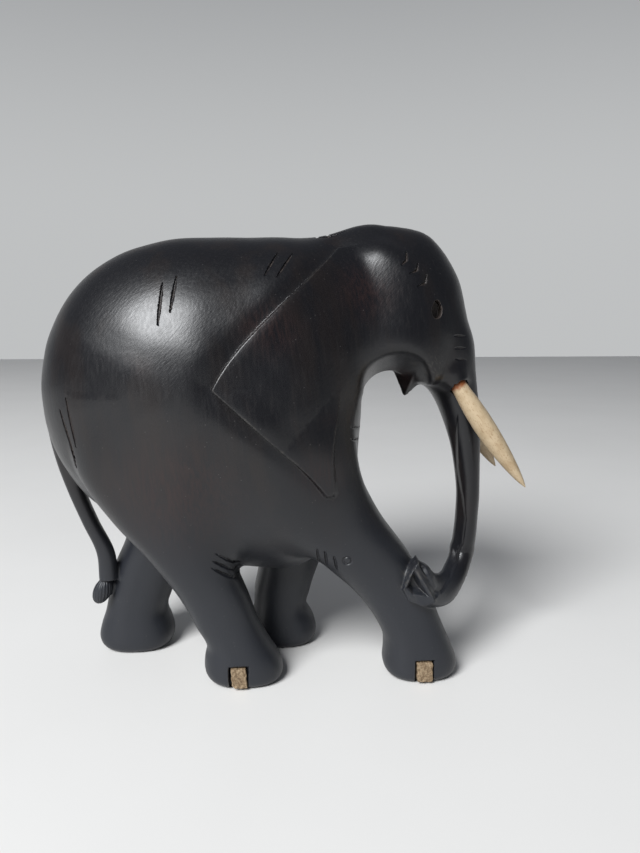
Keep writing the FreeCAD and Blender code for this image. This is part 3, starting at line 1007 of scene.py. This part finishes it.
BLACK = (0.0044, 0.0044, 0.0058, 1.0)
BROWN_BLACK = (0.0085, 0.0064, 0.0064, 1.0)
STREAK = (0.0150, 0.0130, 0.0130, 1.0)
WARM = (0.0300, 0.0110, 0.0085, 1.0)
# the legs' grey-blue is a painted reflection of the pale floor
LEG_GREY_PAINTED_REFLECTION = (0.0160, 0.0182, 0.0238, 1.0)
# pale: real wear and scratches, and a painted highlight along sharp outward edges
PALE_WEAR_AND_HIGHLIGHT = (0.0850, 0.0780, 0.0700, 1.0)
DUST = (0.0300, 0.0280, 0.0260, 1.0)
SPECK = (0.0750, 0.0720, 0.0700, 1.0)
CUT_BROWN = (0.0400, 0.0300, 0.0260, 1.0)
BONE_PALE = (0.455, 0.355, 0.230, 1.0)
BONE_DEEP = (0.320, 0.220, 0.120, 1.0)
BONE_SPECK = (0.230, 0.130, 0.055, 1.0)
GLUE = (0.200, 0.060, 0.015, 1.0)
CORK_PALE = (0.330, 0.245, 0.155, 1.0)
CORK_DEEP = (0.170, 0.115, 0.066, 1.0)
CORK_PIT = (0.070, 0.040, 0.022, 1.0)
FLOOR_GREY = (0.745, 0.735, 0.715, 1.0)
FLOOR_PALE = (0.800, 0.790, 0.770, 1.0)


def add(tree, kind, inputs=(), out=0, **settings):
    """Adds a node, sets it up, and gives one of its outputs."""
    made = tree.nodes.new("ShaderNode" + kind)
    for key, value in settings.items():
        setattr(made, key, value)
    for key, value in dict(inputs).items():
        if isinstance(value, bpy.types.NodeSocket):
            tree.links.new(value, made.inputs[key])
        else:
            made.inputs[key].default_value = value
    return made.outputs[out]


def ramp(tree, value, low, high, top=1.0):
    """0 at low, top at high, held in between."""
    inputs = {"Value": value, "From Min": low, "From Max": high, "To Max": top}
    return add(tree, "MapRange", inputs, interpolation_type="SMOOTHSTEP")


def maths(tree, operation, a, b):
    return add(tree, "Math", {0: a, 1: b}, operation=operation)


def times(tree, a, b):
    return maths(tree, "MULTIPLY", a, b)


def mix(tree, factor, a, b):
    return add(tree, "Mix", {0: factor, 6: a, 7: b}, out=2, data_type="RGBA")


def stretch(tree, place, share, turn):
    """Turns a place about the width, in degrees, then cuts its height to this share."""
    inputs = {"Vector": place, "Rotation": (0.0, math.radians(turn), 0.0)}
    turned = add(tree, "Mapping", inputs)
    return add(tree, "Mapping", {"Vector": turned, "Scale": (1.0, 1.0, share)})


def noise(tree, place, scale, detail, rough=0.55):
    inputs = {"Vector": place, "Scale": scale, "Detail": detail, "Roughness": rough}
    return add(tree, "TexNoise", inputs)


def spots(tree, place, scale, size, share):
    """Small round spots: some of the cells of a random pattern."""
    made = add(tree, "TexVoronoi", {"Vector": place, "Scale": scale})
    chosen = ramp(tree, noise(tree, place, scale * 0.63, 0.0), 1.0 - share, 1.02 - share)
    return times(tree, ramp(tree, made, size, size * 0.4), chosen)


def attribute(tree, name):
    return add(tree, "Attribute", out="Fac", attribute_name=name)


def bump(tree, height, distance, strength, normal=None):
    inputs = {"Height": height, "Distance": distance, "Strength": strength}
    if normal is not None:
        inputs["Normal"] = normal
    return add(tree, "Bump", inputs)


def near(tree, place, centre, reach):
    """1 at a spot on the body (given in millimetres), 0 beyond its reach."""
    inputs = {0: place, 1: [c * MM for c in centre]}
    off = add(tree, "VectorMath", inputs, out="Value", operation="DISTANCE")
    return ramp(tree, off, reach * MM, 0.0)


def new_material(name):
    made = bpy.data.materials.new(name)
    made.use_nodes = True
    tree = made.node_tree
    place = add(tree, "TexCoord", out="Object")
    return made, tree, tree.nodes["Principled BSDF"].inputs, place


def finish_material(tree, inputs, **values):
    for key, value in values.items():
        name = key.replace("_", " ").title().replace("Ior", "IOR")
        if isinstance(value, bpy.types.NodeSocket):
            tree.links.new(value, inputs[name])
        else:
            inputs[name].default_value = value


# Where the wood shows red-brown: spot, reach, strength.
WARM_SPOTS = [
    ((-34.0, 30.0, 66.0), 30.0, 0.55), ((-6.0, 30.0, 116.0), 13.0, 0.5),
    ((9.0, 30.0, 74.0), 13.0, 0.4), ((37.5, 5.0, 99.0), 8.0, 0.8),
    ((24.0, 20.0, 128.0), 14.0, 0.35), ((48.0, 12.6, 122.4), 3.0, 1.0),
]
# Where it is scratched pale: spot, reach.
SCUFF_SPOTS = [((44.5, 15.0, 105.0), 9.0), ((40.5, 26.5, 37.0), 9.0)]
LEG_TURN = (0.084, 0.022)   # heights between which the wood turns duller, and its colour takes a painted grey reflection of the floor
LEG_FRONT = (0.062, 0.050)  # the same along the length, so that the trunk stays dark


def dark_wood():
    """Polished near-black wood, duller down the legs, where a painted floor reflection greys it;
    sharp edges pale with wear and painted highlight.
    """
    made, tree, inputs, place = new_material("dark_wood")
    parts = tree.nodes.new("ShaderNodeSeparateXYZ")
    tree.links.new(place, parts.inputs[0])
    sideways = add(tree, "Math", {0: parts.outputs["Y"]}, operation="ABSOLUTE")
    folded = {0: parts.outputs["X"], 1: sideways, 2: parts.outputs["Z"]}
    mirrored = add(tree, "CombineXYZ", folded)

    fibres = noise(tree, stretch(tree, place, 0.06, 4.0), 1300.0, 4.0, 0.65)
    figure = noise(tree, stretch(tree, place, 0.22, 10.0), 95.0, 3.0)
    colour = mix(tree, ramp(tree, figure, 0.45, 0.68), BLACK, BROWN_BLACK)
    colour = mix(tree, ramp(tree, fibres, 0.54, 0.78, 0.5), colour, STREAK)
    patches = noise(tree, place, 36.0, 2.0)
    warm = ramp(tree, patches, 0.64, 0.80, 0.3)
    for spot, reach, strength in WARM_SPOTS:
        here = times(tree, near(tree, mirrored, spot, reach), strength)
        warm = maths(tree, "MAXIMUM", warm, here)
    broken = times(tree, warm, ramp(tree, fibres, 0.30, 0.62))
    colour = mix(tree, broken, colour, WARM)
    low = ramp(tree, parts.outputs["Z"], *LEG_TURN)
    low = times(tree, low, ramp(tree, parts.outputs["X"], *LEG_FRONT))
    # Down the legs the colour turns grey-blue: a painted reflection of the pale floor.
    colour = mix(tree, times(tree, low, 0.85), colour, LEG_GREY_PAINTED_REFLECTION)

    # Sharp outward edges turn pale: partly wear, partly a painted highlight. Hollows turn pale with
    # dust.
    bend = attribute(tree, "bend")
    rub = ramp(tree, noise(tree, place, 420.0, 3.0), 0.40, 0.66)
    wear_and_highlight = times(tree, ramp(tree, bend, 0.35, 1.4, 0.55), rub)
    colour = mix(tree, wear_and_highlight, colour, PALE_WEAR_AND_HIGHLIGHT)
    dusty = times(tree, ramp(tree, bend, -0.25, -1.2, 0.6), rub)
    colour = mix(tree, dusty, colour, DUST)
    scratches = noise(tree, stretch(tree, place, 0.08, 40.0), 1500.0, 2.0)
    rubbed = maths(tree, "MAXIMUM", *[near(tree, mirrored, *spot) for spot in SCUFF_SPOTS])
    scuffed = times(tree, rubbed, ramp(tree, scratches, 0.48, 0.72, 0.75))
    colour = mix(tree, scuffed, colour, PALE_WEAR_AND_HIGHLIGHT)
    cut = ramp(tree, attribute(tree, "cut"), 0.08, 0.5)
    fresh = times(tree, cut, maths(tree, "SUBTRACT", 0.85, low))
    colour = mix(tree, fresh, colour, CUT_BROWN)
    specks = spots(tree, place, 620.0, 0.13, 0.38)
    colour = mix(tree, times(tree, specks, 0.6), colour, SPECK)

    rough = ramp(tree, fibres, 0.25, 0.8)
    rough = add(tree, "MapRange", {"Value": rough, "To Min": 0.30, "To Max": 0.40})
    rough = maths(tree, "ADD", rough, times(tree, low, 0.14))
    rough = maths(tree, "ADD", rough, times(tree, cut, 0.2))
    rough = maths(tree, "ADD", rough, times(tree, scuffed, 0.25))
    sanding = noise(tree, stretch(tree, place, 0.3, -38.0), 1500.0, 3.0, 0.6)
    normal = bump(tree, fibres, 0.000018, 0.7)
    normal = bump(tree, sanding, 0.00007, 0.8, normal)
    normal = bump(tree, noise(tree, place, 160.0, 2.0), 0.00007, 0.5, normal)
    finish_material(tree, inputs, base_color=colour, roughness=rough, normal=normal,
                    coat_weight=0.12, coat_roughness=0.28, specular_ior_level=0.45)
    return made


TUSK_SLOPE = math.degrees(math.atan2(TUSK_RUN[0], TUSK_RUN[2]))


def bone():
    """Cream bone with brown specks and fibres, and glue round the base."""
    made, tree, inputs, place = new_material("bone")
    along_grain = stretch(tree, place, 0.12, -TUSK_SLOPE)
    fibres = noise(tree, along_grain, 1500.0, 4.0, 0.6)
    cloud = noise(tree, place, 260.0, 4.0, 0.6)
    colour = mix(tree, ramp(tree, cloud, 0.42, 0.70, 0.5), BONE_PALE, BONE_DEEP)
    colour = mix(tree, ramp(tree, fibres, 0.52, 0.74, 0.6), colour, BONE_DEEP)
    short = stretch(tree, place, 0.4, -TUSK_SLOPE)
    specks = ramp(tree, noise(tree, short, 2600.0, 2.0, 0.7), 0.58, 0.67)
    colour = mix(tree, times(tree, specks, 0.65), colour, BONE_SPECK)
    along = attribute(tree, "along")
    wander = times(tree, noise(tree, place, 500.0, 3.0), 0.05)
    shifted = maths(tree, "SUBTRACT", along, wander)
    glue = ramp(tree, shifted, 0.03, -0.01)
    colour = mix(tree, glue, colour, GLUE)
    tip = times(tree, ramp(tree, along, 0.6, 0.95), ramp(tree, cloud, 0.40, 0.62, 0.45))
    colour = mix(tree, tip, colour, BONE_DEEP)
    normal = bump(tree, fibres, 0.00006, 0.6)
    normal = bump(tree, specks, 0.00003, 0.6, normal)
    rough = add(tree, "MapRange", {"Value": fibres, "To Min": 0.36, "To Max": 0.62})
    finish_material(tree, inputs, base_color=colour, roughness=rough, normal=normal,
                    specular_ior_level=0.45)
    return made


def cork():
    """Mottled, pitted brownish bone of the toenails."""
    made, tree, inputs, place = new_material("nail")
    grains = noise(tree, place, 1100.0, 5.0, 0.65)
    cloud = noise(tree, place, 420.0, 3.0)
    colour = mix(tree, ramp(tree, grains, 0.38, 0.64), CORK_DEEP, CORK_PALE)
    colour = mix(tree, ramp(tree, cloud, 0.52, 0.70, 0.5), colour, CORK_DEEP)
    pits = ramp(tree, noise(tree, place, 1900.0, 3.0, 0.7), 0.60, 0.68)
    colour = mix(tree, times(tree, pits, 0.8), colour, CORK_PIT)
    normal = bump(tree, grains, 0.00018, 0.8)
    normal = bump(tree, maths(tree, "SUBTRACT", 1.0, pits), 0.0001, 0.8, normal)
    finish_material(tree, inputs, base_color=colour, roughness=0.72, normal=normal,
                    specular_ior_level=0.35)
    return made


def floor_material():
    made, tree, inputs, place = new_material("floor")
    cloud = noise(tree, place, 9.0, 3.0)
    colour = mix(tree, cloud, FLOOR_GREY, FLOOR_PALE)
    finish_material(tree, inputs, base_color=colour, roughness=0.5, specular_ior_level=0.3)
    return made


body = carved_body()
body.data.materials.append(dark_wood())
bone_material, nail_material = bone(), cork()
for side, node in ((-1, "tusk_right"), (1, "tusk_left")):
    tusk(side, node).data.materials.append(bone_material)
for name, box in zip(NAILS, NAIL_BOXES):
    toenail(name, *box).data.materials.append(nail_material)

# ---- Floor, light and camera ----

FLOOR_HALF = 1.5
corners = [(-FLOOR_HALF, -FLOOR_HALF, 0.0), (FLOOR_HALF, -FLOOR_HALF, 0.0),
           (FLOOR_HALF, FLOOR_HALF, 0.0), (-FLOOR_HALF, FLOOR_HALF, 0.0)]
floor = mesh_object("floor", np.array(corners) / MM, [[0, 1, 2, 3]])
floor.data.materials.append(floor_material())

# The room: dim above and towards the viewer, pale low down behind.
ROOM_DIM = (0.120, 0.127, 0.142, 1.0)
ROOM_PALE = (0.520, 0.530, 0.535, 1.0)


def room():
    world = bpy.data.worlds.new("room")
    bpy.context.scene.world = world
    world.use_nodes = True
    tree = world.node_tree
    parts = tree.nodes.new("ShaderNodeSeparateXYZ")
    tree.links.new(add(tree, "TexCoord", out="Generated"), parts.inputs[0])
    behind = ramp(tree, parts.outputs["Y"], 0.25, 0.9)
    low = ramp(tree, parts.outputs["Z"], 0.75, 0.1)
    colour = mix(tree, times(tree, behind, low), ROOM_DIM, ROOM_PALE)
    tree.links.new(colour, tree.nodes["Background"].inputs["Color"])


def aim(made, place, look):
    made.location = place
    made.rotation_euler = look.to_track_quat("-Z", "Y").to_euler()


KEY_PLACE, KEY_TARGET = (-0.845, -1.125, 1.255), (-0.02, 0.0, 0.08)
KEY_SIZE, KEY_WATTS = 0.95, 53.0
KEY_COLOUR = (0.965, 0.982, 1.0)


def key_light():
    data = bpy.data.lights.new("key", "AREA")
    data.shape = "DISK"
    data.size = KEY_SIZE
    data.energy = KEY_WATTS
    data.color = KEY_COLOUR
    aim(placed("key", data), KEY_PLACE, Vector(KEY_TARGET) - Vector(KEY_PLACE))


room()
key_light()
bpy.context.scene.view_settings.view_transform = "Standard"

CAMERA_PLACE = (-0.0057, -0.2424, 0.1235)
PITCH, YAW = math.radians(9.5), math.radians(4.0)
SENSOR, LENS = 36.0, 30.39
camera = placed("camera", bpy.data.cameras.new("camera"))
flat = math.cos(PITCH)
aim(camera, CAMERA_PLACE, Vector((math.sin(YAW) * flat, math.cos(YAW) * flat, -math.sin(PITCH))))
camera.data.sensor_width = SENSOR
camera.data.lens = LENS
camera.data.clip_start = 0.01
bpy.context.scene.camera = camera
